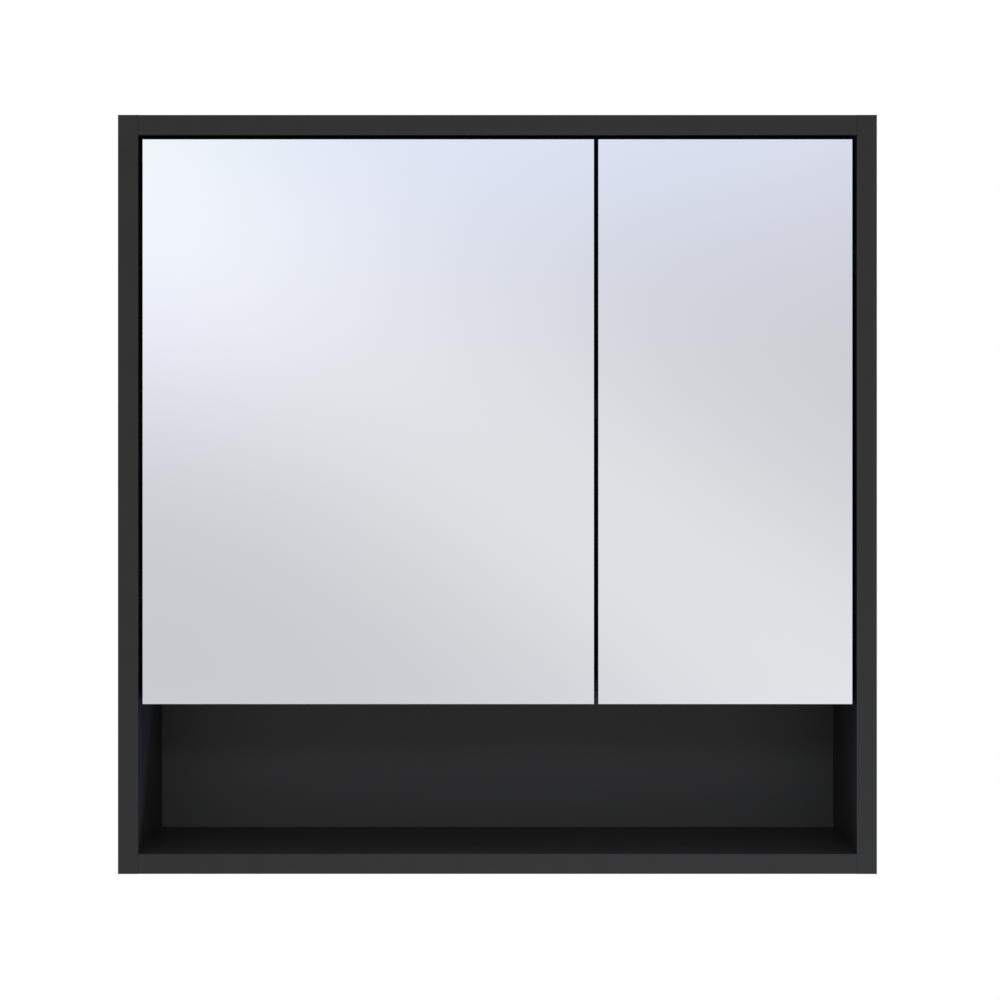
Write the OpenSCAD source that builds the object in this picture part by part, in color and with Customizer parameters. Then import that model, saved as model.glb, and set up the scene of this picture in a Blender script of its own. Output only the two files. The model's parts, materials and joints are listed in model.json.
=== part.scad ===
// Wall cabinet with two inset mirror doors over an open niche.
// Frame: +X to the right seen from the front, +Y into the wall, +Z up.
// The wall is the plane y = 0, and the origin is midway between the two keyholes.

/* [Cabinet] */
// Overall width
cabinet_w = 600; // [480:10:900]
// Overall height
cabinet_h = 600; // [480:10:900]
// Depth from the wall to the front edges
cabinet_d = 150; // [130:5:250]
// Thickness of the boards
board_t = 16; // [15:0.5:19]
// Thickness of the glued front edge strips
edging_t = 1; // [0.4:0.1:2]
// Clear height of the open niche under the doors
niche_h = 119.2; // [80:0.1:180]
// Free depth behind the back panel, for the hanging brackets
back_gap = 12; // [12:0.5:20]
// Thickness of the back panel
back_t = 3; // [3:0.5:5]
// How far the back panel enters its grooves
back_insert = 7; // [4:0.5:8]

/* [Inner shelf] */
// How far the shelf's front edge lies behind the divider's
shelf_setback = 1; // [0:0.5:10]
// Gap between the shelf's ends and the side panels
shelf_side_gap = 1; // [0.5:0.1:2]
// Number of rows in each column of peg holes, an odd number
peg_rows = 5; // [1:2:7]
// Distance between two rows of peg holes
peg_pitch = 32; // [25:1:40]
// Diameter of the peg holes
peg_hole_d = 5; // [4:0.5:6]

/* [Doors] */
// Width of the left door
left_door_w = 357; // [200:1:380]
// Gap between a door and its side panel
side_gap = 3.4; // [3:0.1:4]
// Gap between the two doors
middle_gap = 3.2; // [2.5:0.1:5]
// Gap above the doors
top_gap = 3.2; // [2:0.1:5]
// How far the doors reach below the divider's underside
door_drop = 1; // [0:0.5:6]
// Thickness of the door boards
door_board_t = 16; // [15:0.1:19.5]
// Thickness of the mirror glass
mirror_t = 4; // [3:0.5:6]
// Thickness of the bonding tape
tape_t = 1; // [0.5:0.1:2]
// Width of one strip of bonding tape
tape_w = 20; // [10:1:30]
// Free depth between the closed doors and the boards behind them
door_clearance = 4.5; // [4.5:0.1:8]

/* [Joinery] */
// Diameter of the wooden dowels
dowel_d = 8; // [6:1:8]
// Length of the wooden dowels
dowel_len = 30; // [25:1:35]
// Diameter of the cam discs
cam_d = 15; // [12:1:15]
// Height of the cam discs
cam_h = 12; // [10:0.5:12]
// Distance from a board's end to the middle of its cams
cam_inset = 24; // [20:1:34]
// Diameter of the cam bolts' threaded ends
cam_bolt_d = 5; // [4:0.5:6]

/* [Hanging brackets] */
// Distance from the cabinet's top to the keyholes' entries
keyhole_drop = 60; // [45:1:100]
// Distance from a side panel's inner face to its keyhole
keyhole_inset = 22; // [18:1:26]
// Diameter of a keyhole's entry
keyhole_entry_d = 10; // [8:0.5:12]
// Width of a keyhole's slot
keyhole_slot_w = 5.5; // [4:0.5:7]
// Height of a keyhole's slot above its entry
keyhole_slot_h = 9; // [8:0.5:12]
// Thickness of the bracket steel
bracket_t = 2; // [1.5:0.5:3]

/* [Hinges] */
// Distance from a door's upper or lower end to its hinges
hinge_inset = 85; // [70:1:95]
// Diameter of the hinge cups
cup_d = 35; // [35:0.5:36]
// Depth of the hinge cups in the door boards
cup_depth = 12.2; // [12.2:0.1:12.6]
// Distance from the door's edge to the rim of the hinge cups
cup_edge = 5; // [4:0.5:6]
// Distance from a door's back to the mounting plates' screws
plate_setback = 37; // [37:1:40]
// Distance between the two screws of a mounting plate
plate_screw_spacing = 32; // [30:1:40]

/* [Push latches] */
// Distance from a door's free edge to its latch
latch_inset = 30; // [20:1:60]
// Distance from the top panel's underside to the latch plunger's middle
latch_drop = 10; // [9:0.5:16]
// Diameter of the latch plungers
plunger_d = 7; // [5:0.5:7]
// Gap between a plunger's tip and its strike plate
plunger_gap = 0.3; // [0.2:0.1:1]

/* [Hidden] */
$fn = 48;

// Clearances
groove_clearance = 0.3;
groove_end_clearance = 0.5;
fit_clearance = 0.05;
pocket_clearance = 0.1;
divider_back_gap = 0.2;
shelf_back_gap = 2;
through = 1;

// Carcass planes
inner_w = cabinet_w - 2 * board_t;
top_z = keyhole_drop;
bottom_z = top_z - cabinet_h;
ceiling_z = top_z - board_t;
floor_z = bottom_z + board_t;
divider_z = floor_z + niche_h;
divider_top_z = divider_z + board_t;
front_y = -cabinet_d;
board_front_y = front_y + edging_t;
back_panel_y = -back_gap - back_t;

// Doors, with depths measured from the front plane
door_t = mirror_t + tape_t + door_board_t;
door_z = divider_z - door_drop;
door_top_z = ceiling_z - top_gap;
right_door_w = inner_w - 2 * side_gap - middle_gap - left_door_w;
divider_front_y = front_y + door_t + door_clearance;
shelf_front_y = divider_front_y + shelf_setback;
shelf_z = (divider_top_z + ceiling_z - board_t) / 2;
shelf_back_y = back_panel_y - shelf_back_gap;

// Joinery
cam_from_front = 45;
cam_from_wall = 32;
cam_front_y = front_y + cam_from_front;
cam_back_y = -cam_from_wall;
dowel_y = (cam_front_y + cam_back_y) / 2;
dowel_in_side = 10;
cam_bolt_in_side = 10;
cam_head_d = 6.6;
cam_head_h = 3;
cam_shank_d = 5.6;
cam_channel_play = 0.4;
cam_channel_w = cam_head_d + cam_channel_play;
cam_cap_t = 1;
cam_slot_w = 1.6;
cam_slot_depth = 2;
bolt_bore_d = 8;
board_ends = [
    [ceiling_z, 1],
    [bottom_z, -1],
    [divider_z, 1]
];

// Shelf supports
peg_in_side = 9;
peg_flange_d = 8;
peg_flange_t = 1;
peg_tongue_len = 8;
peg_tongue_w = 7;
peg_tongue_t = 2.4;
peg_z = shelf_z - peg_tongue_t / 2;
peg_from_front = 42;
peg_from_wall = 36;
peg_front_y = front_y + peg_from_front;
peg_back_y = -peg_from_wall;

// Hanging brackets
bracket_past_keyhole = 12;
bracket_wall_leg = keyhole_inset + bracket_past_keyhole;
bracket_side_leg = 11;
bracket_above = 26;
bracket_below = 20;
bracket_screw_d = 3.5;
bracket_screw_len = 12;
bracket_screw_head_d = 6.4;
bracket_screw_head_h = 1.8;
bracket_screw_y = -6.6;
bracket_screw_z = [-13, 18];

// Hinges: pin places as [across, deep] from the cup's centre and the door's back, door closed
hinge_zs = [door_top_z - hinge_inset, door_z + hinge_inset];
outer_arm_pin = [11.8, 15];
inner_arm_pin = [13.7, -7.7];
outer_cup_pin = [-12.1, -6.4];
inner_cup_pin = [-6.3, -8];
pin_r = 1.1;
stub_r = 0.9;
pin_clearance = 0.06;
eye_r = 2.1;
slot_line = [[0.1, -1.3], [0.1, 0.7]];
slot_play = 0.92;
slot_wall = 0.55;
link_r = 1.25;
link_t = 1;
outer_link_bends = [[4.6, -2.6], [10.4, -2.4]];
inner_link_bends = [[2, -0.4], [7, -1.6], [12, -1.8]];
arm_half_t = 2;
link_side_gap = 0.3;
outer_link_z = arm_half_t + link_side_gap;
inner_link_z = outer_link_z + link_t + link_side_gap;
cup_u = side_gap + cup_edge + cup_d / 2;
cup_wall = 0.8;
cup_floor = 0.4;
cup_flange_t = 1.2;
cup_flange_over = 1.5;
cup_screw_spacing = 45;
cup_screw_offset = 9.5;
cup_screw_d = 3.5;
cup_screw_len = 12;
cup_screw_head_d = 6.4;
cup_screw_head_h = 1;
cup_ear_r = 6;
plate_v = door_t + plate_setback;
plate_t = 2;
plate_wing_r = 7;
plate_rail_h = 5.4;
plate_rail_half_w = 5.8;
plate_rail_ahead = 14;
plate_rail_behind = 30;
plate_screw_d = 5;
plate_screw_len = 11;
plate_screw_head_d = 8.4;
plate_screw_head_h = 1.6;
arm_half_w = 8;
arm_sheet_t = 1.6;
arm_rail_gap = 0.2;
arm_web_u = plate_t + plate_rail_h + arm_rail_gap;
arm_flange_gap = 0.4;
arm_flange_start = -4;
arm_flange_nose = [4, -8];
arm_flange_bend = 2;
arm_knee_bend = [-3, 6];
arm_crank_bend = [3, -6];
arm_screw_d = 5;
arm_screw_head_d = 8;
arm_screw_head_h = 2.2;
arm_screw_len = 5;
arm_screw_places = [6, 20];
arm_screw_vs = [for (place = arm_screw_places) plate_v + place];

// Push latches
latch_z = ceiling_z - latch_drop;
latch_behind_door = 9;
latch_front_v = door_t + latch_behind_door;
latch_len = 56;
latch_half_w = 7;
latch_under = 6;
latch_flange_t = 2;
latch_flange_half_w = 17;
latch_flange_len = 16;
latch_screw_offset = 12;
latch_screw_d = 3.5;
latch_screw_len = 12;
latch_screw_head_d = 6.4;
latch_screw_head_h = 1.8;
plunger_len = 46;
plunger_clearance = 0.1;
strike_d = 10;
strike_t = 1;

// A block between two opposite corners
module block(low, high) {
    translate(low) cube(high - low);
}

// A round rod of radius r and length len that starts at p and runs along a direction
module rod(p, r, len, dir) {
    turn = dir == "x" ? [0, 90, 0]
        : dir == "-x" ? [0, -90, 0]
        : dir == "y" ? [-90, 0, 0]
        : dir == "-z" ? [180, 0, 0]
        : [0, 0, 0];
    translate(p) rotate(turn) cylinder(r = r, h = len);
}

// A band of half width r along a line of points, with round ends and corners
module band(points, r) {
    for (point = points) translate(point) circle(r);
    for (i = [0 : len(points) - 2]) {
        step = points[i + 1] - points[i];
        translate(points[i]) rotate(atan2(step[1], step[0])) translate([0, -r]) {
            square([norm(step), 2 * r]);
        }
    }
}

// Places children in a hinge side's own frame: x from the side panel inwards, y from the front plane
module on_side(side) {
    mirror([side == "right" ? 1 : 0, 0, 0]) translate([-inner_w / 2, front_y, 0]) children();
}

// The two hinge heights, by name
function hinge_z(place) = place == "upper" ? hinge_zs[0] : hinge_zs[1];

function door_w(side) = side == "left" ? left_door_w : right_door_w;

module side_panel(side) {
    color([0.055, 0.055, 0.06])
    mirror([side == "right" ? 1 : 0, 0, 0])
    difference() {
        block([-cabinet_w / 2, board_front_y, bottom_z], [-inner_w / 2, 0, top_z]);
        back_groove();
        for (end = board_ends) {
            z = end[0] + board_t / 2;
            rod([-inner_w / 2 - dowel_in_side - through, dowel_y, z], dowel_d / 2 + fit_clearance,
                dowel_in_side + 2 * through, "x");
            for (y = [cam_front_y, cam_back_y]) {
                rod([-inner_w / 2 - cam_bolt_in_side - through, y, z], cam_bolt_d / 2 + fit_clearance,
                    cam_bolt_in_side + 2 * through, "x");
            }
        }
        for (row = [0 : peg_rows - 1], y = [peg_front_y, peg_back_y]) {
            z = peg_z + (row - (peg_rows - 1) / 2) * peg_pitch;
            rod([-inner_w / 2 - peg_in_side - through, y, z], peg_hole_d / 2, peg_in_side + 2 * through, "x");
        }
        for (z = hinge_zs, dz = [-1, 1]) {
            translate([-inner_w / 2, front_y + plate_v, z + dz * plate_screw_spacing / 2]) {
                rod([-plate_screw_len - through, 0, 0], plate_screw_d / 2,
                    plate_screw_len + 2 * through, "x");
            }
        }
        for (z = bracket_screw_z) {
            rod([-inner_w / 2 - bracket_screw_len, bracket_screw_y, z], bracket_screw_d / 2 + fit_clearance,
                bracket_screw_len + through, "x");
        }
    }
}

// The space that the back panel's grooves take, all round the opening
module back_groove() {
    reach = back_insert + groove_end_clearance;
    block([-inner_w / 2 - reach, back_panel_y - groove_clearance / 2, floor_z - reach],
        [inner_w / 2 + reach, -back_gap + groove_clearance / 2, ceiling_z + reach]);
}

// A board between the side panels; cam_up is 1 where its cams go in from above, -1 from below
module cross_board(z, y0, y1, cam_up) {
    difference() {
        block([-inner_w / 2, y0, z], [inner_w / 2, y1, z + board_t]);
        for (s = [0, 1]) mirror([s, 0, 0]) {
            rod([-inner_w / 2 - through, dowel_y, z + board_t / 2], dowel_d / 2 + fit_clearance,
                dowel_len - dowel_in_side + 2 * through, "x");
            for (y = [cam_front_y, cam_back_y]) {
                rod([-inner_w / 2 - through, y, z + board_t / 2], bolt_bore_d / 2, cam_inset + through, "x");
                rod([-inner_w / 2 + cam_inset, y, cam_up > 0 ? z + board_t + through : z - through],
                    cam_d / 2 + pocket_clearance, cam_h + cam_cap_t + through, cam_up > 0 ? "-z" : "z");
            }
        }
    }
}

module top_panel() {
    color([0.055, 0.055, 0.06])
    difference() {
        cross_board(ceiling_z, board_front_y, 0, 1);
        back_groove();
        for (side = ["left", "right"], dx = [-1, 1]) on_side(side) {
            rod([latch_u(side) + dx * latch_screw_offset, latch_front_v + latch_flange_len / 2,
                ceiling_z - through], latch_screw_d / 2 + fit_clearance, latch_screw_len + through, "z");
        }
    }
}

module bottom_panel() {
    color([0.055, 0.055, 0.06])
    difference() {
        cross_board(bottom_z, board_front_y, 0, -1);
        back_groove();
    }
}

module divider_panel() {
    color([0.055, 0.055, 0.06])
    cross_board(divider_z, divider_front_y + edging_t, back_panel_y - divider_back_gap, 1);
}

module shelf() {
    color([0.055, 0.055, 0.06])
    block([-inner_w / 2 + shelf_side_gap, shelf_front_y + edging_t, shelf_z],
        [inner_w / 2 - shelf_side_gap, shelf_back_y, shelf_z + board_t]);
}

module back_panel() {
    color([0.09, 0.09, 0.095])
    block([-inner_w / 2 - back_insert, back_panel_y, floor_z - back_insert],
        [inner_w / 2 + back_insert, -back_gap, ceiling_z + back_insert]);
}

module side_edging(side) {
    color([0.16, 0.16, 0.17])
    mirror([side == "right" ? 1 : 0, 0, 0])
    block([-cabinet_w / 2, front_y, bottom_z], [-inner_w / 2, board_front_y, top_z]);
}

// A strip on a board between the sides, with its lower edge at z and its front at y
module cross_edging(z, y, half_w) {
    color([0.16, 0.16, 0.17]) block([-half_w, y, z], [half_w, y + edging_t, z + board_t]);
}

module shelf_edging() {
    cross_edging(shelf_z, shelf_front_y, inner_w / 2 - shelf_side_gap);
}

module dowels() {
    color([0.76, 0.6, 0.4])
    for (s = [0, 1], end = board_ends) mirror([s, 0, 0]) {
        rod([-inner_w / 2 - dowel_in_side, dowel_y, end[0] + board_t / 2], dowel_d / 2, dowel_len, "x");
    }
}

// Calls its children at the middle of each cam, turned so that +Z runs out of the pocket's mouth
module at_cams() {
    for (s = [0, 1], end = board_ends, y = [cam_front_y, cam_back_y]) mirror([s, 0, 0]) {
        translate([-inner_w / 2 + cam_inset, y, end[0] + board_t / 2]) {
            mirror([0, 0, end[1] > 0 ? 0 : 1]) children();
        }
    }
}

module cam_discs() {
    top = board_t / 2 - cam_cap_t;
    color([0.7, 0.7, 0.72])
    at_cams() difference() {
        translate([0, 0, top - cam_h]) cylinder(r = cam_d / 2, h = cam_h);
        block([-cam_d, -cam_channel_w / 2, -cam_channel_w / 2],
            [cam_channel_w / 2, cam_channel_w / 2, cam_channel_w / 2]);
        for (turn = [0, 90]) rotate([0, 0, turn]) {
            block([-cam_d / 4, -cam_slot_w / 2, top - cam_slot_depth],
                [cam_d / 4, cam_slot_w / 2, top + through]);
        }
    }
}

module cam_bolts() {
    color([0.78, 0.78, 0.8])
    at_cams() {
        rod([-cam_inset - cam_bolt_in_side, 0, 0], cam_bolt_d / 2, cam_bolt_in_side, "x");
        rod([-cam_inset, 0, 0], cam_shank_d / 2, cam_inset, "x");
        rod([-cam_head_h / 2, 0, 0], cam_head_d / 2, cam_head_h, "x");
    }
}

module cam_caps() {
    color([0.1, 0.1, 0.1])
    at_cams() translate([0, 0, board_t / 2 - cam_cap_t]) cylinder(r = cam_d / 2, h = cam_cap_t);
}

module shelf_supports() {
    color([0.75, 0.75, 0.77])
    for (s = [0, 1], y = [peg_front_y, peg_back_y]) mirror([s, 0, 0]) translate([-inner_w / 2, y, peg_z]) {
        rod([-peg_in_side, 0, 0], peg_hole_d / 2 - fit_clearance, peg_in_side, "x");
        difference() {
            rod([0, 0, 0], peg_flange_d / 2, peg_flange_t, "x");
            block([-through, -peg_flange_d, peg_tongue_t / 2],
                [peg_flange_t + through, peg_flange_d, peg_flange_d]);
        }
        block([0, -peg_tongue_w / 2, -peg_tongue_t / 2],
            [peg_tongue_len, peg_tongue_w / 2, peg_tongue_t / 2]);
    }
}

module hanging_bracket(side) {
    x = inner_w / 2 - keyhole_inset;
    color([0.72, 0.73, 0.75])
    mirror([side == "right" ? 1 : 0, 0, 0])
    difference() {
        union() {
            block([-inner_w / 2, -bracket_t, -bracket_below],
                [-inner_w / 2 + bracket_wall_leg, 0, bracket_above]);
            block([-inner_w / 2, -bracket_side_leg, -bracket_below],
                [-inner_w / 2 + bracket_t, 0, bracket_above]);
        }
        rod([-x, -bracket_t - through, 0], keyhole_entry_d / 2, bracket_t + 2 * through, "y");
        rod([-x, -bracket_t - through, keyhole_slot_h], keyhole_slot_w / 2, bracket_t + 2 * through, "y");
        block([-x - keyhole_slot_w / 2, -bracket_t - through, 0],
            [-x + keyhole_slot_w / 2, through, keyhole_slot_h]);
        for (z = bracket_screw_z) {
            rod([-inner_w / 2 - through, bracket_screw_y, z], bracket_screw_d / 2 + fit_clearance,
                bracket_t + 2 * through, "x");
        }
    }
}

module bracket_screws() {
    color([0.8, 0.8, 0.82])
    for (s = [0, 1], z = bracket_screw_z) mirror([s, 0, 0]) {
        rod([-inner_w / 2 - bracket_screw_len + through, bracket_screw_y, z], bracket_screw_d / 2,
            bracket_screw_len + bracket_t, "x");
        rod([-inner_w / 2 + bracket_t, bracket_screw_y, z], bracket_screw_head_d / 2,
            bracket_screw_head_h, "x");
    }
}

// The doors and their hinges are drawn in the hinge side's frame
module door_board(side) {
    color([0.1, 0.1, 0.105])
    on_side(side) difference() {
        block([side_gap + edging_t, mirror_t + tape_t, door_z + edging_t],
            [side_gap + door_w(side) - edging_t, door_t, door_top_z - edging_t]);
        for (z = hinge_zs) {
            rod([cup_u, door_t - cup_depth - pocket_clearance, z], cup_d / 2 + pocket_clearance,
                cup_depth + pocket_clearance + through, "y");
            for (dz = [-1, 1]) {
                rod([cup_u + cup_screw_offset, door_t - cup_screw_len, z + dz * cup_screw_spacing / 2],
                    cup_screw_d / 2 + fit_clearance, cup_screw_len + through, "y");
            }
        }
    }
}

module door_edging(side) {
    color([0.14, 0.14, 0.15])
    on_side(side) difference() {
        block([side_gap, mirror_t + tape_t, door_z], [side_gap + door_w(side), door_t, door_top_z]);
        block([side_gap + edging_t, -through, door_z + edging_t],
            [side_gap + door_w(side) - edging_t, door_t + through, door_top_z - edging_t]);
    }
}

module door_mirror(side) {
    color([0.86, 0.89, 0.92])
    on_side(side) block([side_gap, 0, door_z], [side_gap + door_w(side), mirror_t, door_top_z]);
}

// Upright strips spread evenly behind the glass
module mirror_tape(side) {
    margin = 30;
    strips = 3;
    pitch = (door_w(side) - 2 * margin - tape_w) / (strips - 1);
    color([0.3, 0.3, 0.3])
    on_side(side) for (i = [0 : strips - 1]) {
        u = side_gap + margin + i * pitch;
        block([u, mirror_t, door_z + margin], [u + tape_w, mirror_t + tape_t, door_top_z - margin]);
    }
}

// Places children at a hinge, with the hinge's own middle at z = 0
module at_hinge(side, place) {
    on_side(side) translate([0, 0, hinge_z(place)]) children();
}

function pin_at(offset) = [cup_u + offset[0], door_t + offset[1]];

// A plain plate of height t, from z upwards, with its copy below the middle
module plate_pair(z, t) {
    for (s = [0, 1]) mirror([0, 0, s]) translate([0, 0, z]) linear_extrude(t) children();
}

module hinge_cup(side, place) {
    flange_r = cup_d / 2 + cup_flange_over;
    color([0.75, 0.76, 0.78])
    at_hinge(side, place) difference() {
        union() {
            rod([cup_u, door_t - cup_depth, 0], cup_d / 2, cup_depth + cup_flange_t, "y");
            rod([cup_u, door_t, 0], flange_r, cup_flange_t, "y");
            block([cup_u + cup_screw_offset - cup_ear_r, door_t, -cup_screw_spacing / 2],
                [cup_u + cup_screw_offset + cup_ear_r, door_t + cup_flange_t, cup_screw_spacing / 2]);
            for (dz = [-1, 1]) {
                rod([cup_u + cup_screw_offset, door_t, dz * cup_screw_spacing / 2], cup_ear_r,
                    cup_flange_t, "y");
            }
        }
        rod([cup_u, door_t - cup_depth + cup_floor, 0], cup_d / 2 - cup_wall,
            cup_depth + cup_flange_t, "y");
        for (dz = [-1, 1]) {
            rod([cup_u + cup_screw_offset, door_t - through, dz * cup_screw_spacing / 2],
                cup_screw_d / 2 + fit_clearance, cup_flange_t + 2 * through, "y");
        }
        cup_pin_rods(fit_clearance / 2);
    }
}

// One long pin for the outer links, and two stubs that leave the middle free for them
module cup_pin_rods(extra) {
    outer_half = sqrt(pow(cup_d / 2, 2) - pow(outer_cup_pin[0], 2)) - cup_wall;
    inner_half = sqrt(pow(cup_d / 2, 2) - pow(inner_cup_pin[0], 2)) - cup_wall / 2;
    stub_z = inner_link_z - link_side_gap / 2;
    translate(concat(pin_at(outer_cup_pin), -outer_half)) cylinder(r = pin_r + extra, h = 2 * outer_half);
    for (s = [0, 1]) mirror([0, 0, s]) {
        translate(concat(pin_at(inner_cup_pin), stub_z)) {
            cylinder(r = stub_r + extra, h = inner_half - stub_z);
        }
    }
}

module cup_pins(side) {
    color([0.6, 0.6, 0.62]) for (place = ["upper", "lower"]) at_hinge(side, place) cup_pin_rods(0);
}

module cup_screws(side) {
    color([0.8, 0.8, 0.82])
    for (place = ["upper", "lower"], dz = [-1, 1]) at_hinge(side, place) {
        translate([cup_u + cup_screw_offset, 0, dz * cup_screw_spacing / 2]) {
            rod([0, door_t - cup_screw_len + through, 0], cup_screw_d / 2,
                cup_screw_len + cup_flange_t - through, "y");
            rod([0, door_t + cup_flange_t, 0], cup_screw_head_d / 2, cup_screw_head_h, "y");
        }
    }
}

// Carries the door: dips under the cup's rim before it rises to the arm
module outer_links(side) {
    start = pin_at(outer_cup_pin);
    end = pin_at(outer_arm_pin);
    color([0.7, 0.71, 0.73])
    for (place = ["upper", "lower"]) at_hinge(side, place) plate_pair(outer_link_z, link_t) difference() {
        union() {
            band([start, for (bend = outer_link_bends) start + bend, end], link_r);
            translate(start) circle(eye_r);
            translate(end) circle(eye_r);
        }
        translate(start) circle(pin_r + pin_clearance);
        translate(end) circle(pin_r + pin_clearance);
    }
}

// Guides the door: its cup end rides on the stubs with play in a slot
module inner_links(side) {
    start = pin_at(inner_cup_pin);
    end = pin_at(inner_arm_pin);
    color([0.7, 0.71, 0.73])
    for (place = ["upper", "lower"]) at_hinge(side, place) plate_pair(inner_link_z, link_t) difference() {
        union() {
            band([for (bend = inner_link_bends) start + bend, end], link_r);
            translate(start) band(slot_line, stub_r + slot_play + slot_wall);
            translate(end) circle(eye_r);
        }
        translate(start) band(slot_line, stub_r + slot_play);
        translate(end) circle(pin_r + pin_clearance);
    }
}

module arm_pins() {
    outer_half = outer_link_z + link_t + link_side_gap / 2;
    inner_half = inner_link_z + link_t + link_side_gap / 2;
    color([0.6, 0.6, 0.62])
    for (side = ["left", "right"], place = ["upper", "lower"]) at_hinge(side, place) {
        translate(concat(pin_at(outer_arm_pin), -outer_half)) cylinder(r = pin_r, h = 2 * outer_half);
        translate(concat(pin_at(inner_arm_pin), -inner_half)) cylinder(r = pin_r, h = 2 * inner_half);
    }
}

// A narrow tip that reaches into the cup, a cranked sheet, and a channel over the plate's rail
module hinge_arm(side, place) {
    tip = pin_at(inner_arm_pin);
    knee = pin_at(outer_arm_pin);
    web_u = arm_web_u + arm_sheet_t / 2;
    flange_u = plate_t + arm_flange_gap;
    flange_z = plate_rail_half_w + arm_flange_gap;
    crank = [
        knee + arm_knee_bend,
        [web_u, plate_v] + arm_crank_bend,
        [web_u, plate_v],
        [web_u, plate_v + plate_rail_behind]
    ];
    flange = [
        [flange_u, plate_v + arm_flange_start],
        [web_u, plate_v] + arm_flange_nose,
        [web_u, plate_v + arm_flange_bend],
        [web_u, plate_v + plate_rail_behind],
        [flange_u, plate_v + plate_rail_behind]
    ];
    color([0.74, 0.75, 0.77])
    at_hinge(side, place) difference() {
        union() {
            translate([0, 0, -arm_half_t]) linear_extrude(2 * arm_half_t) {
                band([tip, knee, knee + arm_knee_bend], eye_r);
            }
            translate([0, 0, -arm_half_w]) linear_extrude(2 * arm_half_w) band(crank, arm_sheet_t / 2);
            plate_pair(flange_z, arm_half_w - flange_z) polygon(flange);
        }
        for (pin = [tip, knee]) {
            translate(concat(pin, -arm_half_t - through)) {
                cylinder(r = pin_r, h = 2 * (arm_half_t + through));
            }
        }
        for (v = arm_screw_vs) {
            rod([arm_web_u - through, v, 0], arm_screw_d / 2 + fit_clearance, arm_sheet_t + 2 * through, "x");
        }
    }
}

module hinge_plate(side, place) {
    half = plate_screw_spacing / 2;
    color([0.72, 0.73, 0.75])
    at_hinge(side, place) difference() {
        union() {
            block([0, plate_v - plate_wing_r, -half], [plate_t, plate_v + plate_wing_r, half]);
            for (dz = [-1, 1]) rod([0, plate_v, dz * half], plate_wing_r, plate_t, "x");
            block([0, plate_v - plate_rail_ahead, -plate_rail_half_w],
                [plate_t + plate_rail_h, plate_v + plate_rail_behind, plate_rail_half_w]);
        }
        for (dz = [-1, 1]) {
            rod([-through, plate_v, dz * half], plate_screw_d / 2, plate_t + 2 * through, "x");
        }
        for (v = arm_screw_vs) {
            rod([plate_t, v, 0], arm_screw_d / 2 + fit_clearance, plate_rail_h + through, "x");
        }
    }
}

module plate_screws() {
    color([0.8, 0.8, 0.82])
    for (side = ["left", "right"], place = ["upper", "lower"], dz = [-1, 1]) at_hinge(side, place) {
        translate([0, plate_v, dz * plate_screw_spacing / 2]) {
            rod([-plate_screw_len, 0, 0], plate_screw_d / 2 - fit_clearance,
                plate_screw_len + plate_t, "x");
            rod([plate_t, 0, 0], plate_screw_head_d / 2, plate_screw_head_h, "x");
        }
    }
}

module arm_screws() {
    color([0.8, 0.8, 0.82])
    for (side = ["left", "right"], place = ["upper", "lower"], v = arm_screw_vs) at_hinge(side, place) {
        head_u = arm_web_u + arm_sheet_t;
        rod([head_u - arm_screw_len, v, 0], arm_screw_d / 2, arm_screw_len, "x");
        rod([head_u, v, 0], arm_screw_head_d / 2, arm_screw_head_h, "x");
    }
}

function latch_u(side) = side_gap + door_w(side) - latch_inset;

module latch_housing(side) {
    u = latch_u(side);
    color([0.12, 0.12, 0.125])
    on_side(side) difference() {
        union() {
            block([u - latch_half_w, latch_front_v, latch_z - latch_under],
                [u + latch_half_w, latch_front_v + latch_len, ceiling_z]);
            block([u - latch_flange_half_w, latch_front_v, ceiling_z - latch_flange_t],
                [u + latch_flange_half_w, latch_front_v + latch_flange_len, ceiling_z]);
        }
        rod([u, latch_front_v - through, latch_z], plunger_d / 2 + plunger_clearance,
            plunger_len + through, "y");
        for (dx = [-1, 1]) {
            rod([u + dx * latch_screw_offset, latch_front_v + latch_flange_len / 2,
                ceiling_z - latch_flange_t - through], latch_screw_d / 2 + fit_clearance,
                latch_flange_t + 2 * through, "z");
        }
    }
}

module latch_screws() {
    color([0.8, 0.8, 0.82])
    for (side = ["left", "right"], dx = [-1, 1]) on_side(side) {
        translate([latch_u(side) + dx * latch_screw_offset, latch_front_v + latch_flange_len / 2,
            ceiling_z - latch_flange_t]) {
            rod([0, 0, 0], latch_screw_d / 2, latch_screw_len + latch_flange_t - through, "z");
            rod([0, 0, 0], latch_screw_head_d / 2, latch_screw_head_h, "-z");
        }
    }
}

module latch_plunger(side) {
    start = door_t + strike_t + plunger_gap;
    color([0.5, 0.5, 0.52])
    on_side(side) rod([latch_u(side), start, latch_z], plunger_d / 2, plunger_len, "y");
}

module strike_plate(side) {
    color([0.78, 0.78, 0.8])
    on_side(side) rod([latch_u(side), door_t, latch_z], strike_d / 2, strike_t, "y");
}

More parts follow.
